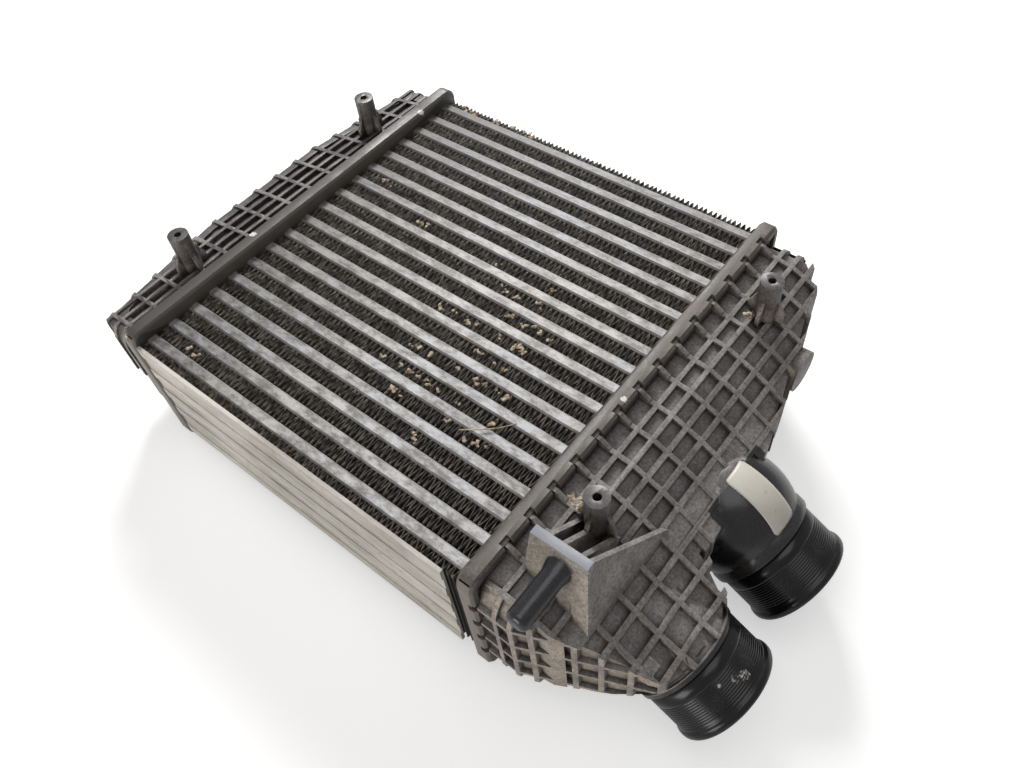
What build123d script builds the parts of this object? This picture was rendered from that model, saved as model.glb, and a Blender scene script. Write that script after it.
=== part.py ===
from build123d import *
import math
import os

# ---------------------------------------------------------------- driving dimensions (mm)

# core
TUBE_COUNT = 18
TUBE_PITCH = 16.0
TUBE_THICKNESS = 7.2
TUBE_DEPTH = 86.4
TUBE_NOSE_CHAMFER = 1.0
TUBE_WALL = 1.1
TUBE_SPAN = 254.0            # bare length between the two header plates
FIN_FOLDS = 4
FIN_SHEET = 0.8
FIN_SETBACK = 0.4              # the fins end this far inside the tube edges
FIN_DEPTH = TUBE_DEPTH - 2 * FIN_SETBACK
END_FIN_WIDTH = 5.4
BRAZE_GAP = 0.1              # left between brazed faces
FIN_END_GAP = 0.5            # between a fin pack and a header plate
SIDE_PLATE_THICKNESS = 1.5
FRONT_PLATE_DEPTH = 88.0
BACK_PLATE_DEPTH = 66.0
SIDE_PLATE_CUTBACK = 10.0    # the plate stops short of the port header
SIDE_PLATE_BEADS = 5
SIDE_PLATE_BEAD_GAP = 11.0     # between two beads
SIDE_PLATE_BEAD_RISE = 0.7

# header plates with their crimped rails
HEADER_SHEET = 2.0
RAIL_HEIGHT = 104.0
RAIL_MARGIN = 0.8            # how far each end of the rail stands out past the core
RAIL_WIDTH = 10.5
RAIL_CORNER = 8.0
RAIL_CHAMFER = 1.6
RAIL_LIP = 3.5               # how far the crimp reaches over the tank foot
TUBE_STICK_OUT = 1.5         # tube end proud of the header plate
CRIMP_NOTCH_WIDTH = 6.0
CRIMP_NOTCH_DEPTH = 4.0

# gasket and tank foot
SEAT_GAP = 0.1               # between parts that are pressed together
GASKET_THICKNESS = 2.4
GASKET_WIDTH = 4.0
FOOT_RECESS = 1.6            # the foot clears the tube ends by this much

# end tanks
TANK_WALL = 3.0
RIB_HEIGHT = 3.0
RIB_THICKNESS = 2.8
TANK_HEIGHT = 90.4           # over the ribs, beside the rail
TANK_SETBACK = 1.6           # of each end of the tank from the end of the rail
TANK_CORNER = 18.0
UNDER_CHAMFER = 12.0         # along the lower edges of the tanks
CROSS_RIB_COUNT = 16
CROSS_RIB_PITCH = 18.9
CROSS_RIB_SHIFT = 4.6        # middle of the cross ribs, from the middle of the core
SIDE_RIB_COUNT = 4
SIDE_RIB_PITCH = 18.6
TONGUE_RISE = 4.2            # rib ends that stand in the crimp notches
TONGUE_LENGTH = 6.0

# return tank
RETURN_REACH = 64.0          # from the header plate to the outermost rib at mid length
RETURN_BOW = 14.0            # how much less it reaches at its ends
RETURN_FLAT = 100.0          # length of the middle flat
RETURN_CORNER = 24.0
RETURN_EDGE_CHAMFER = 7.0
RETURN_LIP = 14.0            # breadth of the lip round the outer edge
RETURN_LIP_DROP = 1.2        # the lip lies this far below the ribs
RETURN_TOP_SLOPE = 8.5
RETURN_LONG_RIBS = (22.7, 32.0, 41.6)

# port tank; places are (reach from the header plate, y)
PORT_TOP_FLAT = 12.0
PORT_BEND = (31.0, 42.4)     # the top bends here; places on the side outline are (reach, z)
PORT_SLOPE_START = (49.0, 34.2)
PORT_LONG_RIBS = (20.8, 30.1, 39.5, 49.0, 58.9, 71.0, 84.3, 97.8)
SHOULDER_REACH = 30.0        # where both end walls begin to lean in
BACK_CORNER_MIDDLE = (43.0, 135.5)
BACK_ELBOW = (54.4, 110.4)
BACK_WALL_MIDDLE = (70.5, 50.4)
WAIST = (80.5, 3.2)
VALLEY = (81.0, -49.0)
WEDGE_OVERLAP = 20.0         # the body runs on this far into the wedge of the lower neck
FRONT_TIP = (98.0, -117.0)
MOUTH_REACH = 112.0
FRONT_RIB_DEPTH = 36.0       # the ribs of the front end wall go back this far
UNDERCUT = 18.0              # how far the lower half of the outer wall leans in
SMOOTH_STRIP = (-60.2, 31.6)  # the surface beside the upper neck has no ribs here
SMOOTH_FIELD = (-49.0, 31.6)  # and here, further out
SMOOTH_DROP = 0.8            # the smooth surface lies this far below the ribs
VALLEY_MOUTH = (112.0, -64.0)
DIVIDER_THICKNESS = 3.0
DIVIDER_END = (80.0, -48.0)

# hose necks; places along a neck are measured back from its open end
NECK_TILT = 31.0
NECK_ROOT_REACH = 55.4       # where the neck axes cross the middle plane
NECK_LENGTH = 76.0
NECK_SPACING = 78.8
LOWER_NECK_OFFSET = -86.0
SPIGOT_RADIUS = 30.5
SPIGOT_LENGTH = 31.0
BEAD_RISE = 1.5
BEAD_LENGTH = 5.0
BEAD_CHAMFER = 1.0
BORE_RADIUS = 26.5
UPPER_BORE_LENGTH = 64.0
LOWER_BORE_LENGTH = 44.0     # the lower neck opens straight into the wedge
COLLAR_RISE = 2.0
COLLAR_LENGTH = 3.5
SWELL_START = (31.6, 37.0)   # (radius, place) on the smooth body of the upper neck
SWELL_MIDDLE = (34.6, 60.0)
SWELL_END = (24.0, 82.0)
RIBBED_NECK_RISE = 1.2       # ribs of the lower neck over its spigot
RIBBED_NECK_DEPTH = 2.4
RIBBED_NECK_PLACE = 34.0
RIBBED_NECK_ROOT = (26.5, 74.0)
SHOULDER_ANGLE = 45.0

# screw bosses
BOSS_SPACING_X = 320.0
BOSS_SPACING_Y = 168.0
BOSS_CENTRE_X = 1.6
BOSS_CENTRE_Y = 4.0
BOSS_TOP = 67.0
BOSS_RADIUS = 6.6
BOSS_HOLE_RADIUS = 2.3
BOSS_HOLE_DEPTH = 18.0
GUSSET_RADIUS = 11.0
GUSSET_RISE = 9.0
GUSSET_THICKNESS = 2.4

# locating pin and its bracket
BRACKET_TOP = 67.8
BRACKET_FRONT = -113.3       # front face of the plate at its top
BRACKET_SPAN = (20.5, 53.0)  # reach of its two ends at the top
BRACKET_PLATE = 5.0
BRACKET_LEAN = 16.5
BRACKET_WALL_LEAN = 11.3     # the outer wall leans out towards its foot
BRACKET_FOOT = 18.0
BRACKET_RIBS = (27.0, 34.9, 45.6)
BRACKET_WALL_END = (-56.0, 27.0)  # (y, z) where the outer wall runs out
RECESS_END = -79.0           # the tank is hollowed out behind the plate as far as this
RECESS_SHELF = 34.0
RECESS_FLOOR = 19.0
RECESS_RIB_END = 37.0        # height of the bracket ribs at their back end
PIN_REACH = 38.7
PIN_DROP = 11.6              # below the top of the plate
PIN_TIP = -149.5
PIN_RADIUS = 6.3
PIN_DOME = 3.5
PIN_ROOT_RADIUS = 8.2
PIN_ROOT_LENGTH = 5.0

# blank pad at the back of the port tank
PAD_RADIUS = 13.0
PAD_FACE = 66.0              # reach of its outer face
PAD_DEPTH = 12.0
PAD_CENTRE = (84.0, 12.0)

# ---------------------------------------------------------------- places worked out from the sizes

FACE = TUBE_SPAN / 2                                  # inner face of each header plate
STACK_HALF = (TUBE_COUNT - 1) * TUBE_PITCH / 2
PLATE_INNER = STACK_HALF + TUBE_THICKNESS / 2 + END_FIN_WIDTH
RAIL_LENGTH = 2 * (PLATE_INNER + SIDE_PLATE_THICKNESS + SIDE_PLATE_BEAD_RISE + RAIL_MARGIN)
TANK_LENGTH = RAIL_LENGTH - 2 * TANK_SETBACK
GASKET_FACE = FACE + HEADER_SHEET + SEAT_GAP
FOOT_FACE = GASKET_FACE + GASKET_THICKNESS + SEAT_GAP
FOOT_BACK = FACE + RAIL_WIDTH - HEADER_SHEET - SEAT_GAP
RAIL_EDGE = FACE + RAIL_WIDTH
TANK_START = FOOT_FACE + FOOT_RECESS
CREST_START = RAIL_EDGE + SEAT_GAP
CREST = TANK_HEIGHT / 2
UPPER_NECK_OFFSET = LOWER_NECK_OFFSET + NECK_SPACING
WIDE = 400.0                                          # longer than any part of the object


def side_prism(outline):
    """Solid with this outline in the X-Z plane, long in Y."""
    return extrude(Plane.XZ * outline, amount=WIDE, both=True)


def plan_prism(outline):
    """Solid with this outline in the X-Y plane, long in Z."""
    return extrude(outline, amount=WIDE, both=True)


def end_prism(outline):
    """Solid with this outline in the Y-Z plane, long in X."""
    return extrude(Plane.YZ * outline, amount=WIDE, both=True)


def span_box(x_range, y_range, z_range):
    """Box between two limits on each axis."""
    size = [high - low for low, high in (x_range, y_range, z_range)]
    middle = [(high + low) / 2 for low, high in (x_range, y_range, z_range)]
    return Pos(*middle) * Box(*size)


def frame_ring(x_range, outer, inner, corner):
    """Rectangular ring round the X axis; outer and inner are (length, height)."""
    low, high = x_range
    outline = Rectangle(*outer)
    ring = chamfer(outline.vertices(), corner) - Rectangle(*inner)
    return Pos(low, 0, 0) * extrude(Plane.YZ * ring, amount=high - low)


def cross_rib_places():
    first = CROSS_RIB_SHIFT - (CROSS_RIB_COUNT - 1) / 2 * CROSS_RIB_PITCH
    return [first + index * CROSS_RIB_PITCH for index in range(CROSS_RIB_COUNT)]


def tongue_places():
    """Cross ribs that start at the crimped rail; the two end ones are end walls."""
    return cross_rib_places()[1:-1]


def side_rib_places():
    first = -(SIDE_RIB_COUNT - 1) / 2 * SIDE_RIB_PITCH
    return [first + index * SIDE_RIB_PITCH for index in range(SIDE_RIB_COUNT)]


# ---------------------------------------------------------------- core

def make_tube():
    length = TUBE_SPAN + 2 * (HEADER_SHEET + TUBE_STICK_OUT)
    section = Rectangle(TUBE_THICKNESS, TUBE_DEPTH)
    section = chamfer(section.vertices(), TUBE_NOSE_CHAMFER)
    outer = extrude(Plane.YZ * section, amount=length / 2, both=True)
    hollow_size = (TUBE_THICKNESS - 2 * TUBE_WALL, (TUBE_DEPTH - 4 * TUBE_WALL) / 2)
    hollow = extrude(Plane.YZ * Rectangle(*hollow_size), amount=length / 2, both=True)
    rise = (hollow_size[1] + TUBE_WALL) / 2
    return outer - Pos(0, 0, rise) * hollow - Pos(0, 0, -rise) * hollow


def make_fin_pack(width):
    """Sheet folded to and fro between two tubes."""
    swing = (width - 2 * BRAZE_GAP - FIN_SHEET) / 2
    length = TUBE_SPAN - 2 * FIN_END_GAP
    step = length / (2 * FIN_FOLDS)
    wave = [(-length / 2 + index * step, swing * (-1) ** index) for index in range(2 * FIN_FOLDS + 1)]
    upper = [(x, y + FIN_SHEET / 2) for x, y in wave]
    lower = [(x, y - FIN_SHEET / 2) for x, y in reversed(wave)]
    return extrude(Polygon(*upper, *lower, align=None), amount=FIN_DEPTH / 2, both=True)


def make_side_plate(cutback, depth):
    """Front plate of the core, with shallow beads along it."""
    ends = (-FACE + BRAZE_GAP, FACE - cutback)
    face = -PLATE_INNER - SIDE_PLATE_THICKNESS
    plate = span_box(ends, (face, -PLATE_INNER), (-depth / 2, depth / 2))
    pitch = (depth + SIDE_PLATE_BEAD_GAP) / SIDE_PLATE_BEADS
    half = (pitch - SIDE_PLATE_BEAD_GAP) / 2
    for index in range(SIDE_PLATE_BEADS):
        level = (index - (SIDE_PLATE_BEADS - 1) / 2) * pitch
        plate += span_box(ends, (face - SIDE_PLATE_BEAD_RISE, face), (level - half, level + half))
    return plate


# ---------------------------------------------------------------- header plates and gaskets (port side)

def make_header(notched):
    """Header plate with tube slots and a rail crimped over the tank foot."""
    outline = RectangleRounded(RAIL_LENGTH, RAIL_HEIGHT, RAIL_CORNER)
    rail = Pos(FACE, 0, 0) * extrude(Plane.YZ * outline, RAIL_WIDTH)
    ends = rail.faces().filter_by(Plane.YZ)
    rail = chamfer(ends.edges(), RAIL_CHAMFER)
    room = (RAIL_LENGTH - 2 * HEADER_SHEET, RAIL_HEIGHT - 2 * HEADER_SHEET)
    rail -= span_box((FACE + HEADER_SHEET, RAIL_EDGE - HEADER_SHEET), (-room[0] / 2, room[0] / 2),
                     (-room[1] / 2, room[1] / 2))
    mouth = (TANK_LENGTH - 2 * (RIB_HEIGHT - SEAT_GAP), room[1] - 2 * RAIL_LIP)
    rail -= span_box((RAIL_EDGE - HEADER_SHEET, RAIL_EDGE), (-mouth[0] / 2, mouth[0] / 2),
                     (-mouth[1] / 2, mouth[1] / 2))
    for index in range(TUBE_COUNT):
        slot = Box(2 * HEADER_SHEET, TUBE_THICKNESS + 2 * BRAZE_GAP, TUBE_DEPTH + 2 * BRAZE_GAP)
        rail -= Pos(FACE, index * TUBE_PITCH - STACK_HALF, 0) * slot
    return rail - crimp_notches() if notched else rail


def crimp_notches():
    """Cut-outs in the rim of the rail: one for each rib along its top, four down each end."""
    depth = (RAIL_EDGE - CRIMP_NOTCH_DEPTH, RAIL_EDGE)
    half = CRIMP_NOTCH_WIDTH / 2
    cuts = [span_box(depth, (place - half, place + half), (0, RAIL_HEIGHT)) for place in tongue_places()]
    return cuts + [span_box(depth, (-RAIL_LENGTH, RAIL_LENGTH), (level - half, level + half))
                   for level in side_rib_places()]


def make_gasket(bar_width):
    """Square-section seal in the header rail, with a bar where the tank has a dividing wall."""
    room = (RAIL_LENGTH - 2 * HEADER_SHEET - 2 * SEAT_GAP, RAIL_HEIGHT - 2 * HEADER_SHEET - 2 * SEAT_GAP)
    hole = (room[0] - 2 * GASKET_WIDTH, room[1] - 2 * GASKET_WIDTH)
    faces = (GASKET_FACE, GASKET_FACE + GASKET_THICKNESS)
    seal = frame_ring(faces, room, hole, RAIL_CORNER / 2)
    if bar_width:
        seal += span_box(faces, (-bar_width / 2, bar_width / 2), (-hole[1] / 2, hole[1] / 2))
    return seal


# ---------------------------------------------------------------- shared parts of the tanks

def tank_foot():
    """Flange under the crimp, with a recess over the tube ends."""
    room = (RAIL_LENGTH - 2 * HEADER_SHEET - 2 * SEAT_GAP, RAIL_HEIGHT - 2 * HEADER_SHEET - 2 * SEAT_GAP)
    hole = (room[0] - 2 * GASKET_WIDTH, room[1] - 2 * GASKET_WIDTH)
    inset = RIB_HEIGHT + TANK_WALL
    neck = (TANK_LENGTH - 2 * inset, TANK_HEIGHT - 2 * inset)
    rim = frame_ring((FOOT_FACE, TANK_START), room, hole, RAIL_CORNER / 2)
    return rim + frame_ring((TANK_START, FOOT_BACK), room, neck, RAIL_CORNER / 2)


def tank_end_prism(inset):
    """End outline of the tanks, rounded above and chamfered below, long in X from the tank foot outward."""
    outline = Rectangle(TANK_LENGTH - 2 * inset, TANK_HEIGHT - 2 * inset)
    bevel = UNDER_CHAMFER - inset * math.tan(math.radians(22.5))
    outline = chamfer(outline.vertices().group_by(Axis.Y)[0], bevel)
    outline = fillet(outline.vertices().group_by(Axis.Y)[-1], TANK_CORNER - inset)
    return Pos(TANK_START, 0, 0) * extrude(Plane.YZ * outline, amount=WIDE)


def shrunk(outline, inset):
    return offset(outline, amount=-inset, kind=Kind.INTERSECTION) if inset else outline


def long_slabs(reaches):
    """Slabs of the ribs along the tank; only the upper side has them."""
    half = RIB_THICKNESS / 2
    upper = (0, WIDE)
    return [span_box((FACE + reach - half, FACE + reach + half), (-WIDE, WIDE), upper) for reach in reaches]


def cross_slabs():
    """Slabs of the ribs across the tank; the lower side has every fourth one."""
    half = RIB_THICKNESS / 2
    slabs = []
    for index, place in enumerate(cross_rib_places()):
        low = 0 if index % 4 else -WIDE
        slabs.append(span_box((CREST_START, WIDE), (place - half, place + half), (low, WIDE)))
    return slabs


def rib_tongues():
    """Rib ends that stand in the notches of the crimped rail."""
    outer = RAIL_EDGE + TONGUE_LENGTH
    outline = Polygon(
        (FOOT_BACK, CREST - RIB_HEIGHT), (outer, CREST - RIB_HEIGHT), (outer, CREST),
        (RAIL_EDGE, CREST + TONGUE_RISE), (FOOT_BACK, CREST + TONGUE_RISE), align=None)
    tongue = extrude(Plane.XZ * outline, amount=RIB_THICKNESS / 2, both=True)
    return [Pos(0, place, 0) * tongue for place in tongue_places()]


def make_boss(x, y):
    """Round stand-off with four gussets at its foot."""
    foot = CREST - RIB_HEIGHT - TANK_WALL
    boss = Pos(0, 0, (foot + BOSS_TOP) / 2) * Cylinder(BOSS_RADIUS, BOSS_TOP - foot)
    gusset = Polygon(
        (-GUSSET_RADIUS, foot), (-GUSSET_RADIUS, CREST), (-BOSS_RADIUS, CREST + GUSSET_RISE),
        (BOSS_RADIUS, CREST + GUSSET_RISE), (GUSSET_RADIUS, CREST), (GUSSET_RADIUS, foot), align=None)
    web = extrude(Plane.XZ * gusset, amount=GUSSET_THICKNESS / 2, both=True)
    return Pos(x, y, 0) * (boss + web + Rot(0, 0, 90) * web)


def boss_hole(x, y):
    return Pos(x, y, BOSS_TOP - BOSS_HOLE_DEPTH / 2) * Cylinder(BOSS_HOLE_RADIUS, BOSS_HOLE_DEPTH)


def boss_places(side):
    """Screw boss centres on the return side (-1) or the port side (+1)."""
    x = BOSS_CENTRE_X + side * BOSS_SPACING_X / 2
    return [(x, BOSS_CENTRE_Y - BOSS_SPACING_Y / 2), (x, BOSS_CENTRE_Y + BOSS_SPACING_Y / 2)]


# ---------------------------------------------------------------- return tank, built on the port side

def return_plan(inset):
    """Plan outline of the return tank: three flats and two rounded corners."""
    outer = FACE + RETURN_REACH
    end_reach = outer - RETURN_BOW
    half = TANK_LENGTH / 2
    flat_end = RETURN_FLAT / 2
    plan = Polygon((0, half), (end_reach, half), (outer, flat_end), (outer, -flat_end), (end_reach, -half),
                   (0, -half), align=None)
    plan = shrunk(plan, inset)
    corners = [v for v in plan.vertices() if v.X > FACE and abs(v.Y) > RETURN_FLAT]
    return fillet(corners, RETURN_CORNER - inset)


def return_hull(inset):
    """Box with three flats along its outer side, whose edges are chamfered."""
    outer = FACE + RETURN_REACH
    half = TANK_LENGTH / 2
    flat_end = RETURN_FLAT / 2
    low = RETURN_TOP_SLOPE + UNDER_CHAMFER - CREST
    side = Polygon((-half, CREST), (RAIL_EDGE, CREST), (outer, CREST - RETURN_TOP_SLOPE),
                   (outer, low), (outer - UNDER_CHAMFER, -CREST + RETURN_TOP_SLOPE), (RAIL_EDGE, -CREST),
                   (-half, -CREST), align=None)
    side = shrunk(side, inset)
    corner = side.vertices().group_by(Axis.X)[-1].sort_by(Axis.Y)[-1]
    box = side_prism(chamfer(corner, RETURN_EDGE_CHAMFER - inset * math.tan(math.radians(22.5))))
    hull = box & plan_prism(return_plan(inset)) & tank_end_prism(inset)
    lean = math.degrees(math.atan(RETURN_BOW / (half - flat_end)))
    for side_sign in (-1, 1):
        pivot = Pos(outer, side_sign * flat_end, 0)
        hull &= pivot * Rot(0, 0, side_sign * lean) * pivot.inverse() * box
    return hull


def return_lip():
    """Band along the outer edge that joins the ends of the ribs."""
    upper = span_box((CREST_START, WIDE), (-WIDE, WIDE), (0, WIDE))
    return (return_hull(RETURN_LIP_DROP) & upper) - plan_prism(return_plan(RETURN_LIP))


def make_return_tank():
    crest = return_hull(0) & span_box((CREST_START, WIDE), (-WIDE, WIDE), (-WIDE, WIDE))
    ribs = [crest & slab for slab in long_slabs(RETURN_LONG_RIBS) + cross_slabs()]
    tank = return_hull(RIB_HEIGHT).fuse(*ribs, return_lip(), tank_foot())
    for x, y in boss_places(-1):
        tank += make_boss(-x, y)
    tank -= return_hull(RIB_HEIGHT + TANK_WALL)
    for x, y in boss_places(-1):
        tank -= boss_hole(-x, y)
    return mirror(tank, about=Plane.YZ)


# ---------------------------------------------------------------- hose necks

def on_neck(shape, side_offset):
    """Place a shape made round Z, with z = 0 at the open end, on a neck axis."""
    tilt = math.radians(NECK_TILT)
    end = (FACE + NECK_ROOT_REACH + NECK_LENGTH * math.cos(tilt), side_offset, -NECK_LENGTH * math.sin(tilt))
    place = Plane(origin=end, x_dir=(0, 1, 0), z_dir=(-math.cos(tilt), 0, math.sin(tilt)))
    return place.location * shape


def turned(*points):
    """Solid of revolution; points are (radius, distance back from the open end)."""
    return revolve(Plane.XZ * Polygon(*points, align=None), axis=Axis.Z)


def make_spigot(side_offset):
    """Hose spigot with an end bead, welded to the neck behind it."""
    length = SPIGOT_LENGTH - SEAT_GAP
    spigot = Pos(0, 0, length / 2) * Cylinder(SPIGOT_RADIUS, length)
    bead = Pos(0, 0, BEAD_LENGTH / 2) * Cylinder(SPIGOT_RADIUS + BEAD_RISE, BEAD_LENGTH)
    spigot += chamfer(bead.edges().filter_by(GeomType.CIRCLE).sort_by(Axis.Z)[0], BEAD_CHAMFER)
    return on_neck(spigot, side_offset) - make_bore(side_offset, SPIGOT_LENGTH)


def make_upper_neck():
    """Smooth neck with a collar; it swells and then closes in towards its root."""
    collar = SPIGOT_RADIUS + COLLAR_RISE
    collar_back = SPIGOT_LENGTH + COLLAR_LENGTH
    outline = Polyline(SWELL_START, (collar, collar_back), (collar, SPIGOT_LENGTH), (0, SPIGOT_LENGTH),
                       (0, SWELL_END[1]), SWELL_END)
    outline += ThreePointArc(SWELL_END, SWELL_MIDDLE, SWELL_START)
    return on_neck(revolve(Plane.XZ * make_face(outline), axis=Axis.Z), UPPER_NECK_OFFSET)


def make_bore(side_offset, length):
    return on_neck(Pos(0, 0, length / 2) * Cylinder(BORE_RADIUS, length), side_offset)


# ---------------------------------------------------------------- port tank

def reach_point(place):
    return (FACE + place[0], place[1])


def port_side_prism(inset):
    """Side outline: flat beside the rail, then falling in flats to the slope of the necks."""
    bend = reach_point(PORT_BEND)
    slope_start = reach_point(PORT_SLOPE_START)
    far = FACE + MOUTH_REACH
    slope_end = (far, slope_start[1] - (far - slope_start[0]) * math.tan(math.radians(NECK_TILT)))
    side = Polygon((0, CREST), (FACE + PORT_TOP_FLAT, CREST), bend, slope_start, slope_end, (far, -CREST),
                   (0, -CREST), align=None)
    return side_prism(shrunk(side, inset))


def port_main_hull(inset):
    """Body of the port tank, its lower half leaning in on the outside."""
    half = TANK_LENGTH / 2
    shoulder = FACE + SHOULDER_REACH
    elbow = reach_point(BACK_ELBOW)
    waist = reach_point(WAIST)
    valley = reach_point(VALLEY)
    back = Polyline((shoulder, -half), (0, -half), (0, half), (shoulder, half))
    back += ThreePointArc((shoulder, half), reach_point(BACK_CORNER_MIDDLE), elbow)
    back += ThreePointArc(elbow, reach_point(BACK_WALL_MIDDLE), waist)
    inside = valley[1] - WEDGE_OVERLAP
    back += Polyline(waist, valley, (valley[0], inside), (shoulder, inside), (shoulder, -half))
    plan = shrunk(make_face(back), inset)
    upper = extrude(plan, amount=CREST)
    lower = extrude(plan, amount=math.hypot(UNDERCUT, CREST), dir=(-UNDERCUT, 0, -CREST))
    return upper + lower


def port_wedge(inset):
    """Front of the port tank, drawn in towards the lower neck."""
    half = TANK_LENGTH / 2
    shoulder = FACE + SHOULDER_REACH
    valley = reach_point(VALLEY)
    inner = reach_point(VALLEY_MOUTH)
    tip = reach_point(FRONT_TIP)
    outer = (FACE + MOUTH_REACH, tip[1])
    plan = Polygon((0, -half), (shoulder, -half), tip, outer, inner, valley, (0, valley[1]), align=None)
    mouth = SPIGOT_RADIUS + RIBBED_NECK_RISE - inset
    back = RIBBED_NECK_PLACE + WIDE
    spread = mouth + WIDE * math.tan(math.radians(SHOULDER_ANGLE))
    envelope = on_neck(turned((0, RIBBED_NECK_PLACE), (mouth, RIBBED_NECK_PLACE), (spread, back), (0, back)),
                       LOWER_NECK_OFFSET)
    return plan_prism(shrunk(plan, inset)) & envelope


def port_hull(inset):
    return (port_main_hull(inset) + port_wedge(inset)) & port_side_prism(inset) & tank_end_prism(inset)


def ribbed_neck(inset):
    """Round end of the lower neck, behind its spigot; it closes in towards its root."""
    front = SPIGOT_RADIUS + RIBBED_NECK_RISE - inset
    root, back = RIBBED_NECK_ROOT
    shape = turned((0, SPIGOT_LENGTH), (front, SPIGOT_LENGTH), (front, RIBBED_NECK_PLACE),
                   (root - inset, back), (0, back))
    return on_neck(shape, LOWER_NECK_OFFSET)


def make_divider():
    """Wall that parts the two chambers of the port tank."""
    end = reach_point(DIVIDER_END)
    half = DIVIDER_THICKNESS / 2
    outline = Polygon((FOOT_FACE, -half), end, (end[0], end[1] + 2 * half), (FOOT_FACE, half), align=None)
    return plan_prism(outline) & (port_hull(RIB_HEIGHT) + span_box(
        (FOOT_FACE, TANK_START), (-half, half), (GASKET_WIDTH - CREST, CREST - GASKET_WIDTH)))


def bracket_slide(height, angle):
    """How far a leaning face has moved at this height."""
    return (BRACKET_TOP - height) * math.tan(math.radians(angle))


def bracket_span(left, right, height):
    """Prism along Y between a plumb face and the leaning outer wall, down to a height."""
    out = right + bracket_slide(height, BRACKET_WALL_LEAN)
    outline = Polygon((left, BRACKET_TOP), (right, BRACKET_TOP), (out, height), (left, height), align=None)
    return side_prism(outline)


def make_bracket():
    """Leaning plate with ribs behind it and a long leaning wall beside it."""
    left, right = (FACE + reach for reach in BRACKET_SPAN)
    back = BRACKET_FRONT + BRACKET_PLATE
    slide = bracket_slide(BRACKET_FOOT, BRACKET_LEAN)
    plate = Polygon((BRACKET_FRONT, BRACKET_TOP), (back, BRACKET_TOP), (back - slide, BRACKET_FOOT),
                    (BRACKET_FRONT - slide, BRACKET_FOOT), align=None)
    bracket = end_prism(plate) & bracket_span(left, right, BRACKET_FOOT)
    side = Polygon((BRACKET_FRONT, BRACKET_TOP), (back, BRACKET_TOP), BRACKET_WALL_END,
                   (BRACKET_WALL_END[0], BRACKET_FOOT), (BRACKET_FRONT - slide, BRACKET_FOOT), align=None)
    wall = bracket_span(left, right, BRACKET_FOOT) - bracket_span(left, right - RIB_THICKNESS, BRACKET_FOOT)
    bracket += end_prism(side) & wall
    web = Polygon((back - BRACKET_PLATE / 2, BRACKET_TOP - 1), (RECESS_END + 1, RECESS_RIB_END),
                  (RECESS_END + 1, BRACKET_FOOT), (back - slide, BRACKET_FOOT), align=None)
    for reach in BRACKET_RIBS:
        bracket += Pos(FACE + reach, 0, 0) * extrude(Plane.YZ * web, amount=RIB_THICKNESS / 2, both=True)
    return bracket


def make_recess(grow):
    """Hollow in the top of the tank between the bracket's plate and its wall."""
    left = FACE + BRACKET_RIBS[0] - grow
    right = FACE + BRACKET_SPAN[1] - RIB_THICKNESS + grow
    shelf = RECESS_SHELF - grow
    floor = RECESS_FLOOR - grow
    out = right + bracket_slide(shelf, BRACKET_WALL_LEAN)
    outline = Polygon((left, BRACKET_TOP), (right, BRACKET_TOP), (out, shelf), (right, floor), (left, floor),
                      align=None)
    front = BRACKET_FRONT - bracket_slide(floor, BRACKET_LEAN)
    reach = span_box((left, WIDE), (front, RECESS_END + grow), (floor, WIDE))
    return side_prism(outline) & reach


def make_pin():
    """Level locating pin with a domed end and a flared root."""
    level = BRACKET_TOP - PIN_DROP
    root = BRACKET_FRONT - bracket_slide(level, BRACKET_LEAN) + BRACKET_PLATE / 2
    length = root - PIN_TIP
    flare = BRACKET_PLATE / 2 + PIN_ROOT_LENGTH
    outline = Polygon((0, 0), (PIN_ROOT_RADIUS, 0), (PIN_RADIUS, flare), (PIN_RADIUS, length), (0, length),
                      align=None)
    outline = fillet(outline.vertices().sort_by_distance((PIN_RADIUS, length))[0], PIN_DOME)
    pin = revolve(Plane.XZ * outline, axis=Axis.Z)
    return Pos(FACE + PIN_REACH, root, level) * Rot(90, 0, 0) * pin


def make_pad():
    """Round blank pad on the outer wall near the back end."""
    middle = FACE + PAD_FACE - PAD_DEPTH / 2
    pad = Rot(0, 90, 0) * Cylinder(PAD_RADIUS, PAD_DEPTH)
    return Pos(middle, *PAD_CENTRE) * pad


def front_slabs():
    """Slabs of the upright and level ribs of the front end wall."""
    half = RIB_THICKNESS / 2
    depth = (-WIDE, FRONT_RIB_DEPTH - TANK_LENGTH / 2)
    upright = [span_box((FACE + reach - half, FACE + reach + half), depth, (-WIDE, WIDE))
               for reach in PORT_LONG_RIBS]
    return upright + [span_box((CREST_START, WIDE), depth, (level - half, level + half))
                      for level in side_rib_places()]


def smooth_field():
    """Plain surface beside the upper neck."""
    step = FACE + PORT_LONG_RIBS[5]
    upper = (0, WIDE)
    zone = span_box((FACE + PORT_LONG_RIBS[4], step), SMOOTH_STRIP, upper)
    zone += span_box((step, WIDE), SMOOTH_FIELD, upper)
    return port_hull(SMOOTH_DROP) & zone


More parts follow.
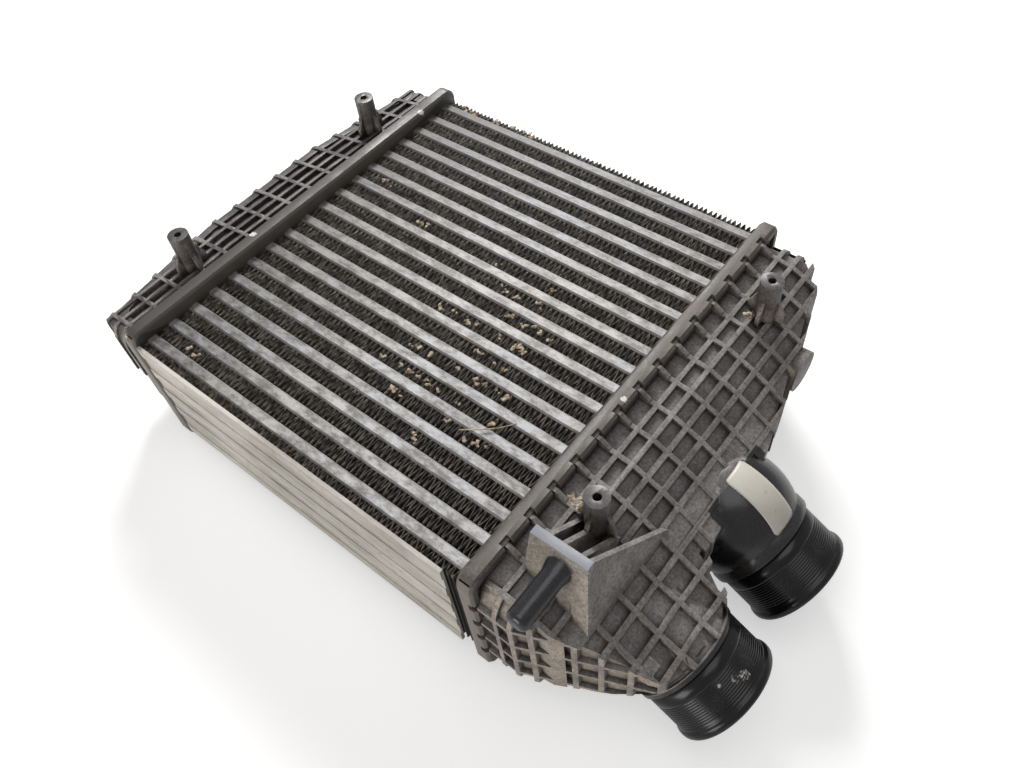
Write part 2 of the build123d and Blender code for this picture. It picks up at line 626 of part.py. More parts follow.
def make_port_tank():
    everywhere = (-WIDE, WIDE)
    crest = port_hull(0) + ribbed_neck(0)
    crest &= span_box((CREST_START, WIDE), everywhere, everywhere)
    slabs = long_slabs(PORT_LONG_RIBS) + cross_slabs() + front_slabs()
    mouth = Cylinder(WIDE / 2, RIB_THICKNESS)
    slabs.append(on_neck(Pos(0, 0, SPIGOT_LENGTH + RIB_THICKNESS / 2) * mouth, LOWER_NECK_OFFSET))
    ribs = [crest & slab for slab in slabs]
    tank = port_hull(RIB_HEIGHT) + ribbed_neck(RIBBED_NECK_DEPTH)
    tank = tank.fuse(*ribs, smooth_field(), make_upper_neck())
    tank -= make_recess(0) & span_box((0, WIDE), (BRACKET_FRONT, 0), everywhere)
    tank = tank.fuse(*rib_tongues(), tank_foot(), make_bracket(), make_pin(), make_pad())
    for x, y in boss_places(1):
        tank += make_boss(x, y)
    tank -= port_hull(RIB_HEIGHT + TANK_WALL) - make_recess(TANK_WALL)
    tank -= make_bore(UPPER_NECK_OFFSET, UPPER_BORE_LENGTH)
    tank -= make_bore(LOWER_NECK_OFFSET, LOWER_BORE_LENGTH)
    for x, y in boss_places(1):
        tank -= boss_hole(x, y)
    return tank + make_divider()


# ---------------------------------------------------------------- everything together

def save(shape, name):
    """Write one piece, moved so that the origin lies midway between the tops of the four screw bosses."""
    export_step(Pos(-BOSS_CENTRE_X, -BOSS_CENTRE_Y, -BOSS_TOP) * shape, f"parts/{name}.step")


def export_core():
    tube = make_tube()
    for index in range(TUBE_COUNT):
        save(Pos(0, index * TUBE_PITCH - STACK_HALF, 0) * tube, f"tube_{index + 1:02d}")
    inner_fin = make_fin_pack(TUBE_PITCH - TUBE_THICKNESS)
    end_fin = make_fin_pack(END_FIN_WIDTH)
    end_place = (STACK_HALF + TUBE_THICKNESS / 2 + PLATE_INNER) / 2
    save(Pos(0, -end_place, 0) * end_fin, "fin_01")
    for index in range(TUBE_COUNT - 1):
        save(Pos(0, (index + 0.5) * TUBE_PITCH - STACK_HALF, 0) * inner_fin, f"fin_{index + 2:02d}")
    save(Pos(0, end_place, 0) * end_fin, f"fin_{TUBE_COUNT + 1:02d}")
    save(make_side_plate(SIDE_PLATE_CUTBACK, FRONT_PLATE_DEPTH), "side_plate_front")
    save(mirror(make_side_plate(BRAZE_GAP, BACK_PLATE_DEPTH), about=Plane.XZ), "side_plate_back")


def export_parts():
    os.makedirs("parts", exist_ok=True)
    export_core()
    save(make_header(True), "header_port")
    save(mirror(make_header(False), about=Plane.YZ), "header_return")
    save(make_gasket(GASKET_WIDTH), "gasket_port")
    save(mirror(make_gasket(0), about=Plane.YZ), "gasket_return")
    save(make_spigot(UPPER_NECK_OFFSET), "spigot_upper")
    save(make_spigot(LOWER_NECK_OFFSET), "spigot_lower")
    save(make_return_tank(), "return_tank")
    save(make_port_tank(), "port_tank")


export_parts()
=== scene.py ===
import bmesh
import bpy
import math
import random
from mathutils import Matrix, Vector, noise


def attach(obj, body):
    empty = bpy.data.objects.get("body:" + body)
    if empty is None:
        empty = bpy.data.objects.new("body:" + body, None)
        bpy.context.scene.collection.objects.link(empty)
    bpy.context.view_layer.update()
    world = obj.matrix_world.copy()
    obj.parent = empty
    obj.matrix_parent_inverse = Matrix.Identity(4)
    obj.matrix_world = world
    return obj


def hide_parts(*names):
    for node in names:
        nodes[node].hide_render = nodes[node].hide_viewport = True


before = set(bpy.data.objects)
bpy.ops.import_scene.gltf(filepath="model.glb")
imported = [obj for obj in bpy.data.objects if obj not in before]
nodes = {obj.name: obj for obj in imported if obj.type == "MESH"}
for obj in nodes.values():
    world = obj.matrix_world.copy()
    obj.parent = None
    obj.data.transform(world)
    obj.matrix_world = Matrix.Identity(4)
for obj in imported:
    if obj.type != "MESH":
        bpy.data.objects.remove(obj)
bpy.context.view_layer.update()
MM = 0.001

# ---------------------------------------------------------------- sizes of the cooler, in millimetres

CORE_CENTRE = Vector((-1.6, -4.0, -67.0))      # every other place below is measured from here
TUBE_COUNT, TUBE_PITCH, TUBE_THICKNESS = 18, 16.0, 7.2
CORE_HALF_LENGTH, CORE_HALF_DEPTH = 127.0, 43.2
END_FIN_WIDTH = 5.4
NECK_TILT = math.radians(31.0)
NECK_END_X, NECK_END_Z = 247.55, -39.14
LOWER_NECK_Y, UPPER_NECK_Y = -86.0, -7.2
NECK_OUT = Vector((math.cos(NECK_TILT), 0, -math.sin(NECK_TILT)))
NECK_UP = Vector((math.sin(NECK_TILT), 0, math.cos(NECK_TILT)))
SPIGOT_BORE, SPIGOT_RADIUS, SPIGOT_BACK = 26.5, 30.5, 30.9
RING_COUNT, RING_START, RING_PITCH = 11, 7.2, 1.45
BODY_ARC = ((31.6, 37.0), (34.6, 60.0), (24.0, 82.0))    # upper neck body: (radius, place behind open end)
LABEL_SPAN, LABEL_WIDTH, LABEL_CORNER = (37.4, 76.5), 17.6, 2.2

FOLDS, FIN_SHEET, FIN_MARGIN, FIN_SETBACK = 148, 0.22, 0.6, 0.9
TIP_BAND = 4.0                                  # the fin edges bend within this depth of the top
PIN_AXIS = (0.1657, 0.0562)                     # x and z, in metres
BRACKET_TOP, BRACKET_LEAN = 0.0678, math.radians(16.5)
BOSS_X, BOSS_Y = (-158.4, 161.6), (-80.0, 88.0)

# crumbs of leaf caught in the fins: fin number, then the stretch of x they lie in and how many there are
CRUMBS = ((2, (-101, -88), 3), (4, (48, 60), 2), (5, (16, 90), 9), (6, (-8, 88), 11), (7, (6, 80), 11),
          (8, (20, 66), 4), (9, (2, 68), 12), (10, (6, 86), 8), (11, (24, 54), 5), (12, (-112, 52), 5),
          (13, (-108, -98), 3), (19, (-114, -44), 14))
CRUMB_HEIGHT = 42.4
# nests of leaf beside bosses: place, how many crumbs and how far they spread
NESTS = ((147.0, -78.0, 43.6, 26, 5.5), (152.5, -70.5, 43.4, 10, 3.0), (156.0, 79.5, 43.0, 7, 2.5))
# pale chips in the paint: place and radius
CHIPS = ((-134.2, -44.2, 52.0, 2.4), (-135.5, -145.8, 49.0, 2.0), (-128.2, 112.3, 51.6, 2.4),
         (134.3, -16.6, 52.0, 2.0), (245.8, -97.8, -5.2, 1.2))


def spot(x, y, z):
    """Place in metres in the frame, from millimetres measured from the middle of the core."""
    return (Vector((x, y, z)) + CORE_CENTRE) * MM


# ---------------------------------------------------------------- camera, floor and light

def bare_backdrop(tree):
    """Strength of the white surroundings: full for the camera, part for reflections, 0 as a light."""
    path = tree.nodes.new("ShaderNodeLightPath")
    both = tree.nodes.new("ShaderNodeMath")
    both.operation = "MULTIPLY_ADD"
    both.use_clamp = True
    both.inputs[1].default_value = 0.4
    tree.links.new(path.outputs["Is Glossy Ray"], both.inputs[0])
    tree.links.new(path.outputs["Is Camera Ray"], both.inputs[2])
    return both.outputs[0]


def set_camera():
    camera = bpy.data.objects.new("camera", bpy.data.cameras.new("camera"))
    bpy.context.collection.objects.link(camera)
    camera.data.lens = 30.30
    camera.data.sensor_width = 36
    camera.data.clip_start = 0.01
    right = Vector((0.78042552, 0.62001222, -0.08075186))
    up = Vector((-0.45812355, 0.6549269, 0.60099381))
    back = Vector((0.42551007, -0.43203658, 0.79516387))
    turn = Matrix((right, up, back)).transposed().to_4x4()
    camera.matrix_world = Matrix.Translation(spot(278.18, -244.72, 423.44)) @ turn
    bpy.context.scene.camera = camera


def set_floor():
    """Pale floor that meets the neck beads and the bottom of the return rail."""
    mesh = bpy.data.meshes.new("floor")
    bm = bmesh.new()
    bmesh.ops.create_grid(bm, x_segments=1, y_segments=1, size=6.0)
    slope = math.atan((66.3 - 52.0) / (232.0 + 139.0))
    bmesh.ops.rotate(bm, cent=(0, 0, 0), matrix=Matrix.Rotation(slope, 3, "Y"), verts=bm.verts)
    bmesh.ops.translate(bm, vec=spot(0, 0, -57.6), verts=bm.verts)
    bm.to_mesh(mesh)
    bm.free()
    floor = bpy.data.objects.new("floor", mesh)
    bpy.context.collection.objects.link(floor)
    material = bpy.data.materials.new("floor_paper")
    material.use_nodes = True
    tree = material.node_tree
    shader = tree.nodes["Principled BSDF"]
    shader.inputs["Base Color"].default_value = (0.78, 0.77, 0.76, 1)
    shader.inputs["Roughness"].default_value = 0.9
    shader.inputs["Specular IOR Level"].default_value = 0.1
    shader.inputs["Emission Color"].default_value = (1, 1, 1, 1)
    where = put(tree, "ShaderNodeTexCoord").outputs["Object"]
    away = put(tree, "ShaderNodeVectorMath", {0: where}, operation="LENGTH")
    glow = span(tree, away.outputs["Value"], 0.45, 1.4, 0.52, 1.0)
    tree.links.new(times(tree, glow, bare_backdrop(tree)), shader.inputs["Emission Strength"])
    mesh.materials.append(material)


def set_light():
    world = bpy.data.worlds.new("studio")
    bpy.context.scene.world = world
    world.use_nodes = True
    tree = world.node_tree
    tree.nodes.clear()
    strength = tree.nodes.new("ShaderNodeMapRange")
    strength.inputs["To Min"].default_value = 0.15
    strength.inputs["To Max"].default_value = 1.0
    tree.links.new(bare_backdrop(tree), strength.inputs["Value"])
    background = tree.nodes.new("ShaderNodeBackground")
    background.inputs["Color"].default_value = (1, 1, 1, 1)
    tree.links.new(strength.outputs[0], background.inputs["Strength"])
    output = tree.nodes.new("ShaderNodeOutputWorld")
    tree.links.new(background.outputs[0], output.inputs[0])
    lamps = (("key", (-0.70, 0.90, 0.95), 0.45, 23.0), ("top", (0.25, -0.2, 1.5), 1.0, 5.0),
             ("front", (0.05, -1.4, 0.10), 0.8, 9.0))
    for name, place, size, power in lamps:
        lamp = bpy.data.lights.new(name, "AREA")
        lamp.size = size
        lamp.energy = power
        holder = bpy.data.objects.new(name, lamp)
        bpy.context.collection.objects.link(holder)
        holder.location = Vector(place) + CORE_CENTRE * MM
        holder.rotation_euler = Vector(place).to_track_quat("Z", "Y").to_euler()


# ---------------------------------------------------------------- shader groups shared by the finishes

def socket(group, name, kind, default=None, out=False):
    """Add a socket to a group's interface."""
    item = group.interface.new_socket(name=name, in_out="OUTPUT" if out else "INPUT", socket_type=kind)
    if default is not None:
        item.default_value = default


def put(tree, kind, values=None, **settings):
    """Add a shader node; values set or link its inputs by name or number."""
    node = tree.nodes.new(kind)
    for key, value in settings.items():
        setattr(node, key, value)
    for key, value in (values or {}).items():
        if isinstance(value, bpy.types.NodeSocket):
            tree.links.new(value, node.inputs[key])
        else:
            node.inputs[key].default_value = value
    return node


def parts(tree, vector):
    """The x, y and z of a vector."""
    return put(tree, "ShaderNodeSeparateXYZ", {0: vector}).outputs


def facing_parts(tree):
    """The x, y and z of the surface's normal."""
    return parts(tree, put(tree, "ShaderNodeNewGeometry").outputs["Normal"])


def cloud(tree, where, scale, detail=4.0, rough=0.6):
    """Noise from 0 to 1."""
    values = {"Vector": where, "Scale": scale, "Detail": detail, "Roughness": rough}
    return put(tree, "ShaderNodeTexNoise", values).outputs["Fac"]


def span(tree, value, low, high, to_low=0.0, to_high=1.0):
    """Value brought from one range to another, clamped."""
    values = {"Value": value, "From Min": low, "From Max": high, "To Min": to_low, "To Max": to_high}
    return put(tree, "ShaderNodeMapRange", values).outputs[0]


def times(tree, a, b):
    return put(tree, "ShaderNodeMath", {0: a, 1: b}, operation="MULTIPLY").outputs[0]


def plus(tree, a, b):
    return put(tree, "ShaderNodeMath", {0: a, 1: b}, operation="ADD").outputs[0]


def most(tree, a, b):
    return put(tree, "ShaderNodeMath", {0: a, 1: b}, operation="MAXIMUM").outputs[0]


def scaled(tree, colour, factor):
    return put(tree, "ShaderNodeVectorMath", {0: colour, "Scale": factor}, operation="SCALE").outputs[0]


def blend(tree, share, a, b):
    """Colour a where the share is 0 and colour b where it is 1."""
    return put(tree, "ShaderNodeMix", {"Factor": share, 6: a, 7: b}, data_type="RGBA").outputs[2]


def make_dust_group():
    """Settled dirt: patchy, and thicker on faces that look up."""
    group = bpy.data.node_groups.new("settled_dust", "ShaderNodeTree")
    socket(group, "Vector", "NodeSocketVector")
    socket(group, "Cover", "NodeSocketFloat", 0.5)
    socket(group, "Patch Scale", "NodeSocketFloat", 30.0)
    socket(group, "Mask", "NodeSocketFloat", out=True)
    entry = put(group, "NodeGroupInput")
    broad = cloud(group, entry.outputs["Vector"], entry.outputs["Patch Scale"], 3.0)
    fine = cloud(group, entry.outputs["Vector"], times(group, entry.outputs["Patch Scale"], 14.0), 5.0, 0.7)
    upward = span(group, facing_parts(group)[2], -0.2, 0.9, 0.35, 1.0)
    mixed = plus(group, times(group, broad, 0.6), times(group, fine, 0.4))
    low = span(group, entry.outputs["Cover"], 0.0, 1.0, 0.75, 0.2)
    high = plus(group, low, 0.28)
    put(group, "NodeGroupOutput", {"Mask": times(group, span(group, mixed, low, high), upward)})
    return group


def make_grain_group():
    """Fine uneven surface as a height."""
    group = bpy.data.node_groups.new("moulded_grain", "ShaderNodeTree")
    socket(group, "Vector", "NodeSocketVector")
    socket(group, "Scale", "NodeSocketFloat", 900.0)
    socket(group, "Height", "NodeSocketFloat", out=True)
    entry = put(group, "NodeGroupInput")
    fine = cloud(group, entry.outputs["Vector"], entry.outputs["Scale"], 3.0)
    broad = cloud(group, entry.outputs["Vector"], times(group, entry.outputs["Scale"], 0.12), 2.0)
    put(group, "NodeGroupOutput", {"Height": plus(group, times(group, fine, 0.4), times(group, broad, 0.6))})
    return group


DUST = make_dust_group()
GRAIN = make_grain_group()


def use_group(tree, group, **values):
    """Output of a group whose inputs are given by name, with _ for a space."""
    node = put(tree, "ShaderNodeGroup", node_tree=group)
    for key, value in values.items():
        name = key.replace("_", " ")
        if isinstance(value, bpy.types.NodeSocket):
            tree.links.new(value, node.inputs[name])
        else:
            node.inputs[name].default_value = value
    return node.outputs[0]


def start_finish(name, roughness, metallic=0.0):
    """New material: returns it with its tree, its shader and its coordinates from the core's middle."""
    material = bpy.data.materials.new(name)
    material.use_nodes = True
    tree = material.node_tree
    shader = tree.nodes["Principled BSDF"]
    shader.inputs["Roughness"].default_value = roughness
    shader.inputs["Metallic"].default_value = metallic
    where = put(tree, "ShaderNodeTexCoord").outputs["Object"]
    shift = {0: where, 1: tuple(CORE_CENTRE * -MM)}
    where = put(tree, "ShaderNodeVectorMath", shift, operation="ADD").outputs[0]
    return material, tree, shader, where


def spot_mask(tree, where, x, y, z, radius):
    """Mask of a small ragged patch."""
    ends = {0: where, 1: (x * MM, y * MM, z * MM)}
    away = put(tree, "ShaderNodeVectorMath", ends, operation="DISTANCE").outputs["Value"]
    wobble = 0.4 * radius * MM
    ragged = plus(tree, away, span(tree, cloud(tree, where, 900.0, 3.0), 0.3, 0.7, -wobble, wobble))
    return span(tree, ragged, radius * MM, radius * 0.8 * MM)


def chips_mask(tree, where):
    """Mask of the pale chips."""
    mask = 0.0
    for x, y, z, radius in CHIPS:
        mask = most(tree, mask, spot_mask(tree, where, x, y, z, radius))
    return mask


def edge_mask(tree):
    """1 on outer edges and narrow ribs, 0 in hollows."""
    bend = put(tree, "ShaderNodeNewGeometry").outputs["Pointiness"]
    return span(tree, bend, 0.505, 0.56)


def occlusion_shade_mask(tree, reach):
    """Ambient occlusion for painted shade: 0 in corners and beside ribs, 1 on open faces."""
    node = put(tree, "ShaderNodeAmbientOcclusion", {"Distance": reach}, samples=6)
    return span(tree, node.outputs["AO"], 0.30, 0.86)


def raise_surface(tree, shader, height, strength, distance):
    bump = put(tree, "ShaderNodeBump", {"Height": height, "Strength": strength, "Distance": distance})
    tree.links.new(bump.outputs[0], shader.inputs["Normal"])


def axis_part(tree, where, direction, offset):
    """Distance of each point along a direction, in metres."""
    pair = {0: where, 1: direction}
    along = put(tree, "ShaderNodeVectorMath", pair, operation="DOT_PRODUCT").outputs["Value"]
    return plus(tree, along, offset)


def round_zone(tree, where, axes, centre, radius):
    """Mask of what lies within a radius of a straight line along one axis; centre in metres."""
    place = parts(tree, where)
    total = 0.0
    for name, middle in zip(axes, centre):
        away = plus(tree, place["XYZ".index(name)], -middle)
        total = plus(tree, total, times(tree, away, away))
    return span(tree, total, radius ** 2, (radius * 0.94) ** 2)


def boss_zone(tree, where, radius):
    """Mask of the four screw bosses."""
    mask = 0.0
    for x in BOSS_X:
        for y in BOSS_Y:
            mask = most(tree, mask, round_zone(tree, where, "XY", (x * MM, y * MM), radius))
    return mask


def neck_zone(tree, where, neck_y, back_end, radius):
    """Mask of a neck: 1 near its axis and ahead of a place behind its open end."""
    end = Vector((NECK_END_X, neck_y, NECK_END_Z)) * MM
    ahead = axis_part(tree, where, tuple(NECK_OUT), -NECK_OUT.dot(end) + back_end * MM)
    forward = span(tree, ahead, -0.0004, 0.0004)
    side = axis_part(tree, where, (0, 1, 0), -end.y)
    rise = axis_part(tree, where, tuple(NECK_UP), -NECK_UP.dot(end))
    squares = plus(tree, times(tree, side, side), times(tree, rise, rise))
    near = span(tree, squares, (radius * MM) ** 2, (radius * MM + 0.0006) ** 2, 1.0, 0.0)
    return times(tree, forward, near)


def front_dirt_mask(tree, where, free):
    """Dried mud on the faces that look forward and on the bracket's outer wall."""
    _, y, z = parts(tree, where)
    facing = facing_parts(tree)
    front = span(tree, facing[1], -0.4, -0.9)
    front = times(tree, front, span(tree, cloud(tree, where, 55.0), 0.38, 0.65, 0.05, 0.62))
    front = times(tree, front, span(tree, edge_mask(tree), 0.0, 0.6, 0.3, 1.0))
    # painted shade: less mud in corners and beside ribs, so they stay dark
    front = times(tree, front, span(tree, free, 0.45, 1.0, 0.05, 0.9))
    wall = times(tree, span(tree, facing[0], 0.85, 0.96), span(tree, y, -0.056, -0.058))
    wall = times(tree, wall, span(tree, z, 0.027, 0.030))
    patches = span(tree, cloud(tree, where, 75.0, 5.0, 0.7), 0.35, 0.62, 0.35, 1.3)
    return most(tree, front, times(tree, wall, patches))


def make_tank_finish():
    """Dusty moulded black plastic, glossier and cleaner on the necks and the pin, with painted shade in
    corners, beside ribs and in the bracket's pocket, and a painted sheen on the bracket plate's top face.
    """
    material, tree, shader, where = start_finish("tank_moulding", 0.5)
    x, y, z = parts(tree, where)
    # painted shade: ambient occlusion, used below to darken the colour and thin the dirt in corners and
    # beside ribs
    free = occlusion_shade_mask(tree, 0.007)

    # places kept clean: the neck bodies, the pin and the tops of the bosses; painted shade: the bracket's
    # recess and the corners beside ribs keep little dirt, so they stay dark
    lower_neck = neck_zone(tree, where, LOWER_NECK_Y, 33.5, 34.0)
    clean = most(tree, lower_neck, neck_zone(tree, where, UPPER_NECK_Y, 74.0, 36.0))
    slope = math.tan(BRACKET_LEAN)
    ahead = plus(tree, y, plus(tree, times(tree, z, -slope), BRACKET_TOP * slope))
    pin = round_zone(tree, where, "XZ", PIN_AXIS, 0.0125)
    pin = times(tree, span(tree, ahead, -0.1136, -0.1141), pin)
    post = times(tree, span(tree, z, 0.043, 0.050), boss_zone(tree, where, 0.0080))
    # painted shade: the bracket's recess, which keeps almost no dirt below, so it stays dark
    painted_shade_recess = times(tree, span(tree, y, -0.112, -0.110), span(tree, y, -0.078, -0.080))
    inside = times(tree, span(tree, x, 0.1538, 0.1545), span(tree, edge_mask(tree), 1.0, 0.3))
    painted_shade_recess = times(tree, painted_shade_recess, inside)
    clean_and_painted_shade = span(tree, most(tree, clean, pin), 0.0, 1.0, 1.0, 0.08)
    clean_and_painted_shade = times(tree, clean_and_painted_shade, span(tree, post, 0.0, 1.0, 1.0, 0.35))
    # painted shade: less dirt in corners and beside ribs
    clean_and_painted_shade = times(tree, clean_and_painted_shade, span(tree, free, 0.0, 1.0, 0.25, 1.0))

    # dirt: dust from above, rubbed edges, dried mud in front; painted shade thins it in corners, beside ribs
    # and in the bracket's recess
    dust = use_group(tree, DUST, Vector=where, Cover=0.66, Patch_Scale=38.0)
    edge = times(tree, edge_mask(tree), span(tree, cloud(tree, where, 70.0, 4.0), 0.3, 0.6, 0.45, 1.0))
    dirt = most(tree, times(tree, edge, 0.72), front_dirt_mask(tree, where, free))
    dirt = most(tree, times(tree, dust, 0.42), dirt)
    dirt = times(tree, times(tree, dirt, clean_and_painted_shade), span(tree, painted_shade_recess, 0.0, 1.0, 1.0, 0.1))

    plastic = blend(tree, cloud(tree, where, 22.0, 5.0), (0.028, 0.025, 0.026, 1), (0.052, 0.046, 0.045, 1))
    plastic = blend(tree, clean, plastic, (0.006, 0.006, 0.008, 1))
    grime = blend(tree, cloud(tree, where, 90.0), (0.25, 0.232, 0.222, 1), (0.42, 0.39, 0.365, 1))
    beige = blend(tree, cloud(tree, where, 120.0), (0.40, 0.335, 0.265, 1), (0.66, 0.57, 0.47, 1))
    grime = blend(tree, span(tree, facing_parts(tree)[1], -0.3, -0.8), grime, beige)
    colour = blend(tree, dirt, plastic, grime)
    colour = blend(tree, times(tree, pin, 0.85), colour, (0.014, 0.015, 0.019, 1))
    speckle = span(tree, cloud(tree, where, 620.0, 3.0, 0.8), 0.35, 0.65, 0.62, 1.45)
    # painted shade: the colour is darkened in corners and beside ribs
    colour = scaled(tree, colour, times(tree, speckle, span(tree, free, 0.0, 1.0, 0.55, 1.05)))
    # painted sheen: a pale bluish highlight colour on the bracket plate's top face
    rubbed = times(tree, span(tree, z, 0.0668, 0.0673), span(tree, y, -0.1078, -0.1084))
    colour = blend(tree, times(tree, rubbed, 0.9), colour, (0.30, 0.31, 0.35, 1))
    tree.links.new(colour, shader.inputs["Base Color"])
    rough = span(tree, most(tree, most(tree, clean, pin), rubbed), 0.0, 1.0, 0.34, 0.22)
    tree.links.new(plus(tree, rough, times(tree, dirt, 0.35)), shader.inputs["Roughness"])
    raise_surface(tree, shader, use_group(tree, GRAIN, Vector=where, Scale=1100.0), 0.18, 0.0005)
    return material


def make_spigot_finish():
    """Glossy black plastic with a little dust and a scrape near the end."""
    material, tree, shader, where = start_finish("spigot_moulding", 0.25)
    shader.inputs["Specular IOR Level"].default_value = 0.35
    dust = use_group(tree, DUST, Vector=where, Cover=0.42, Patch_Scale=60.0)
    colour = blend(tree, times(tree, dust, 0.30), (0.006, 0.006, 0.007, 1), (0.13, 0.12, 0.115, 1))
    marks = spot_mask(tree, where, 252.9, -85.0, -6.8, 3.0)
    marks = most(tree, marks, spot_mask(tree, where, 250.5, -90.0, -5.4, 2.2))
    marks = times(tree, marks, span(tree, cloud(tree, where, 500.0, 3.0), 0.45, 0.6))
    marks = most(tree, marks, chips_mask(tree, where))
    colour = blend(tree, marks, colour, (0.52, 0.50, 0.46, 1))
    tree.links.new(colour, shader.inputs["Base Color"])
    tree.links.new(plus(tree, 0.22, times(tree, most(tree, dust, marks), 0.3)), shader.inputs["Roughness"])
    raise_surface(tree, shader, use_group(tree, GRAIN, Vector=where, Scale=900.0), 0.08, 0.0004)
    return material


def make_label_finish():
    """Pale blank label film, a little yellowed and rubbed."""
    material, tree, shader, where = start_finish("label_film", 0.4)
    colour = blend(tree, cloud(tree, where, 110.0, 4.0), (0.62, 0.58, 0.50, 1), (0.74, 0.70, 0.62, 1))
    rubbed = span(tree, cloud(tree, where, 300.0, 4.0), 0.62, 0.72)
    colour = blend(tree, times(tree, rubbed, 0.5), colour, (0.42, 0.38, 0.32, 1))
    tree.links.new(colour, shader.inputs["Base Color"])
    raise_surface(tree, shader, cloud(tree, where, 400.0), 0.1, 0.0003)
    return material


def make_crumb_finish():
    """Dry leaf and seed crumbs."""
    material, tree, shader, where = start_finish("dry_crumbs", 0.8)
    tone = span(tree, cloud(tree, where, 260.0, 3.0), 0.35, 0.65)
    colour = blend(tree, tone, (0.30, 0.215, 0.14, 1), (0.66, 0.56, 0.42, 1))
    tree.links.new(colour, shader.inputs["Base Color"])
    raise_surface(tree, shader, cloud(tree, where, 1500.0), 0.4, 0.0005)
    return material


def make_rail_finish():
    """Dark rail, rubbed lighter in patches."""
    material, tree, shader, where = start_finish("rail_sheet", 0.5)
    dust = use_group(tree, DUST, Vector=where, Cover=0.6, Patch_Scale=45.0)
    metal = blend(tree, cloud(tree, where, 60.0), (0.030, 0.028, 0.027, 1), (0.062, 0.056, 0.052, 1))
    port_side = span(tree, parts(tree, where)[0], -0.05, 0.05, 0.30, 1.1)
    share = most(tree, times(tree, dust, port_side), times(tree, edge_mask(tree), 0.35))
    share = most(tree, share, span(tree, facing_parts(tree)[1], -0.4, -0.9, 0.0, 0.9))
    colour = blend(tree, share, metal, (0.24, 0.205, 0.17, 1))
    colour = blend(tree, chips_mask(tree, where), colour, (0.72, 0.70, 0.66, 1))
    tree.links.new(colour, shader.inputs["Base Color"])
    tree.links.new(plus(tree, 0.42, times(tree, dust, 0.35)), shader.inputs["Roughness"])
    raise_surface(tree, shader, use_group(tree, GRAIN, Vector=where, Scale=700.0), 0.3, 0.0008)
    return material


def make_tube_finish():
    """Dull mottled aluminium with grey and brown stains, darker towards the return end and the back, with
    painted shade on faces turned away from up.
    """
    material, tree, shader, where = start_finish("tube_aluminium", 0.6, 0.15)
    stretch = put(tree, "ShaderNodeMapping", {"Vector": where, "Scale": (0.55, 1.0, 1.0)}).outputs[0]
    mottle = cloud(tree, stretch, 170.0, 6.0, 0.7)
    broad = cloud(tree, where, 14.0, 3.0)
    light = blend(tree, span(tree, broad, 0.35, 0.65), (0.60, 0.57, 0.53, 1), (0.56, 0.565, 0.585, 1))
    colour = blend(tree, span(tree, mottle, 0.38, 0.60), (0.20, 0.185, 0.17, 1), light)
    x, y, _ = parts(tree, where)
    # colour darker towards the return end and towards the back
    darker_to_return_end_and_back = times(tree, span(tree, x, -0.127, 0.01, 0.42, 1.0), span(tree, y, 0.02, 0.14, 1.0, 0.62))
    colour = scaled(tree, colour, darker_to_return_end_and_back)
    specks = span(tree, cloud(tree, where, 420.0, 3.0), 0.66, 0.74)
    colour = blend(tree, times(tree, specks, 0.6), colour, (0.10, 0.085, 0.07, 1))
    # painted shade: faces turned away from up, the tube sides and rounded edges, are coloured dark brown
    colour = blend(tree, span(tree, facing_parts(tree)[2], 0.9, 0.5), colour, (0.14, 0.125, 0.11, 1))
    tree.links.new(colour, shader.inputs["Base Color"])
    tree.links.new(span(tree, mottle, 0.3, 0.7, 0.5, 0.75), shader.inputs["Roughness"])
    raise_surface(tree, shader, plus(tree, mottle, times(tree, specks, -0.5)), 0.25, 0.0008)
    return material


def make_fin_finish():
    """Dark fin sheet, paler along its top edges."""
    material, tree, shader, where = start_finish("fin_sheet", 0.65, 0.1)
    edge = span(tree, parts(tree, where)[2], 0.0385, 0.0428)
    patch = cloud(tree, where, 150.0, 4.0, 0.7)
    dark = blend(tree, patch, (0.012, 0.010, 0.008, 1), (0.035, 0.029, 0.024, 1))
    top_band_patches = span(tree, cloud(tree, where, 320.0, 4.0), 0.4, 0.62)
    pale = blend(tree, top_band_patches, (0.05, 0.042, 0.035, 1), (0.38, 0.34, 0.29, 1))
    colour = blend(tree, times(tree, edge, span(tree, patch, 0.3, 0.6, 0.35, 1.0)), dark, pale)
    tree.links.new(colour, shader.inputs["Base Color"])
    raise_surface(tree, shader, cloud(tree, where, 700.0), 0.3, 0.0005)
    return material


def make_plate_finish():
    """Side plate under a film of pale road dust."""
    material, tree, shader, where = start_finish("side_plate_sheet", 0.6, 0.1)
    streak = put(tree, "ShaderNodeMapping", {"Vector": where, "Scale": (0.3, 1.0, 1.0)}).outputs[0]
    dust = span(tree, cloud(tree, streak, 60.0, 6.0, 0.7), 0.3, 0.62)
    colour = blend(tree, dust, (0.38, 0.35, 0.305, 1), (0.72, 0.68, 0.61, 1))
    specks = span(tree, cloud(tree, where, 260.0, 3.0), 0.62, 0.72)
    colour = blend(tree, times(tree, specks, 0.5), colour, (0.16, 0.135, 0.11, 1))
    tree.links.new(colour, shader.inputs["Base Color"])
    raise_surface(tree, shader, dust, 0.2, 0.0008)
    return material


def make_gasket_finish():
    """Dark rubber."""
    material, tree, shader, where = start_finish("gasket_seal", 0.8)
    colour = blend(tree, cloud(tree, where, 80.0), (0.015, 0.015, 0.015, 1), (0.035, 0.033, 0.03, 1))
    tree.links.new(colour, shader.inputs["Base Color"])
    raise_surface(tree, shader, cloud(tree, where, 500.0), 0.2, 0.0005)
    return material


# ---------------------------------------------------------------- pieces

def finish_piece(name, bm, material, smooth=True, replaced=()):
    """Turn a bmesh into a piece of the cooler that rides on its one body."""
    mesh = bpy.data.meshes.new(name)
    bm.to_mesh(mesh)
    bm.free()
    mesh.materials.append(material)
    if smooth:
        mesh.shade_smooth()
    piece = bpy.data.objects.new(name, mesh)
    bpy.context.collection.objects.link(piece)
    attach(piece, "root")
    if replaced:
        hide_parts(*replaced)
    return piece


